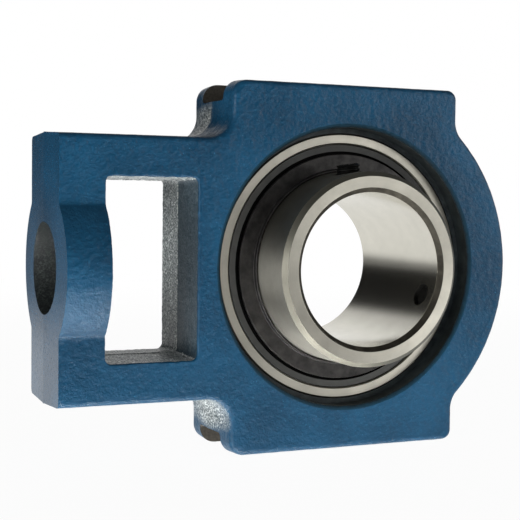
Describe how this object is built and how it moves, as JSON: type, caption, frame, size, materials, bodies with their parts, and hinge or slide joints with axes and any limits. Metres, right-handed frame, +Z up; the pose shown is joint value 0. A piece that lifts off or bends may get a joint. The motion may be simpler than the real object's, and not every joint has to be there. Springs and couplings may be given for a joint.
{
  "type": "take up bearing unit",
  "caption": "Cast take-up bearing housing with guide grooves top and bottom, a nut window and screw nose, holding a self-aligning insert ball bearing.",
  "frame": {"origin": "on the floor of the lower guide groove, straight below the bearing centre, which is 65 mm above it", "axes": "+Z up, X along the take-up travel with the screw nose at -X, Y along the shaft with the set screws at -Y"},
  "size_m": [0.194, 0.0717, 0.146],
  "materials": {
    "blue_paint": "blue enamel over sand-cast iron, satin with a fine cast texture",
    "ring_steel": "ground bearing steel, satin faces and a polished bore",
    "ball_steel": "polished bearing steel",
    "cage_steel": "pressed steel strip",
    "seal_rubber": "black nitrile rubber, matte",
    "dark_steel": "pressed steel with a dark satin coating",
    "black_oxide": "black oxide on hardened steel",
    "zinc_plate": "zinc plated steel"
  },
  "bodies": {
    "housing": {"housing": "blue_paint", "grease_nipple": "zinc_plate"},
    "outer_race": {"outer_ring": "ring_steel", "seal_front": "seal_rubber", "seal_rear": "seal_rubber"},
    "inner_race": {"inner_ring": "ring_steel", "flinger_front": "dark_steel", "flinger_rear": "dark_steel"},
    "cage": {"cage_front": "cage_steel", "cage_rear": "cage_steel", "cage_rivet_01": "cage_steel", "cage_rivet_02": "cage_steel", "cage_rivet_03": "cage_steel", "cage_rivet_04": "cage_steel", "cage_rivet_05": "cage_steel", "cage_rivet_06": "cage_steel", "cage_rivet_07": "cage_steel", "cage_rivet_08": "cage_steel", "cage_rivet_09": "cage_steel", "cage_rivet_10": "cage_steel"},
    "ball_01": {"ball_01": "ball_steel"},
    "ball_02": {"ball_02": "ball_steel"},
    "ball_03": {"ball_03": "ball_steel"},
    "ball_04": {"ball_04": "ball_steel"},
    "ball_05": {"ball_05": "ball_steel"},
    "ball_06": {"ball_06": "ball_steel"},
    "ball_07": {"ball_07": "ball_steel"},
    "ball_08": {"ball_08": "ball_steel"},
    "ball_09": {"ball_09": "ball_steel"},
    "ball_10": {"ball_10": "ball_steel"},
    "set_screw_1": {"set_screw_1": "black_oxide"},
    "set_screw_2": {"set_screw_2": "black_oxide"}
  },
  "joints": [
    {"name": "self_align", "type": "hinge", "parent": "housing", "child": "outer_race", "pos_m": [0, 0, 0.065], "axis": [0, 0, 1], "range_deg": [-5, 5]},
    {"name": "shaft_spin", "type": "hinge", "parent": "outer_race", "child": "inner_race", "pos_m": [0, 0, 0.065], "axis": [0, 1, 0], "continuous": true},
    {"name": "cage_spin", "type": "hinge", "parent": "outer_race", "child": "cage", "pos_m": [0, 0, 0.065], "axis": [0, 1, 0], "continuous": true},
    {"name": "ball_01_spin", "type": "hinge", "parent": "cage", "child": "ball_01", "pos_m": [0, 0, 0.1075], "axis": [0, 1, 0], "continuous": true},
    {"name": "ball_02_spin", "type": "hinge", "parent": "cage", "child": "ball_02", "pos_m": [-0.02498, 0, 0.09938], "axis": [0, 1, 0], "continuous": true},
    {"name": "ball_03_spin", "type": "hinge", "parent": "cage", "child": "ball_03", "pos_m": [-0.04042, 0, 0.07813], "axis": [0, 1, 0], "continuous": true},
    {"name": "ball_04_spin", "type": "hinge", "parent": "cage", "child": "ball_04", "pos_m": [-0.04042, 0, 0.05187], "axis": [0, 1, 0], "continuous": true},
    {"name": "ball_05_spin", "type": "hinge", "parent": "cage", "child": "ball_05", "pos_m": [-0.02498, 0, 0.03062], "axis": [0, 1, 0], "continuous": true},
    {"name": "ball_06_spin", "type": "hinge", "parent": "cage", "child": "ball_06", "pos_m": [0, 0, 0.0225], "axis": [0, 1, 0], "continuous": true},
    {"name": "ball_07_spin", "type": "hinge", "parent": "cage", "child": "ball_07", "pos_m": [0.02498, 0, 0.03062], "axis": [0, 1, 0], "continuous": true},
    {"name": "ball_08_spin", "type": "hinge", "parent": "cage", "child": "ball_08", "pos_m": [0.04042, 0, 0.05187], "axis": [0, 1, 0], "continuous": true},
    {"name": "ball_09_spin", "type": "hinge", "parent": "cage", "child": "ball_09", "pos_m": [0.04042, 0, 0.07813], "axis": [0, 1, 0], "continuous": true},
    {"name": "ball_10_spin", "type": "hinge", "parent": "cage", "child": "ball_10", "pos_m": [0.02498, 0, 0.09938], "axis": [0, 1, 0], "continuous": true},
    {"name": "set_screw_1_travel", "type": "slide", "parent": "inner_race", "child": "set_screw_1", "axis": [-0.1513, 0, 0.9885], "range_m": [-0.0012, 0.003]},
    {"name": "set_screw_2_travel", "type": "slide", "parent": "inner_race", "child": "set_screw_2", "axis": [0.9317, 0, -0.3633], "range_m": [-0.0012, 0.003]}
  ],
  "couplings": [
    {"joint": "cage_spin", "follows": "shaft_spin", "ratio": 0.40662},
    {"joint": "ball_01_spin", "follows": "shaft_spin", "ratio": -2.5838},
    {"joint": "ball_02_spin", "follows": "shaft_spin", "ratio": -2.5838},
    {"joint": "ball_03_spin", "follows": "shaft_spin", "ratio": -2.5838},
    {"joint": "ball_04_spin", "follows": "shaft_spin", "ratio": -2.5838},
    {"joint": "ball_05_spin", "follows": "shaft_spin", "ratio": -2.5838},
    {"joint": "ball_06_spin", "follows": "shaft_spin", "ratio": -2.5838},
    {"joint": "ball_07_spin", "follows": "shaft_spin", "ratio": -2.5838},
    {"joint": "ball_08_spin", "follows": "shaft_spin", "ratio": -2.5838},
    {"joint": "ball_09_spin", "follows": "shaft_spin", "ratio": -2.5838},
    {"joint": "ball_10_spin", "follows": "shaft_spin", "ratio": -2.5838}
  ]
}
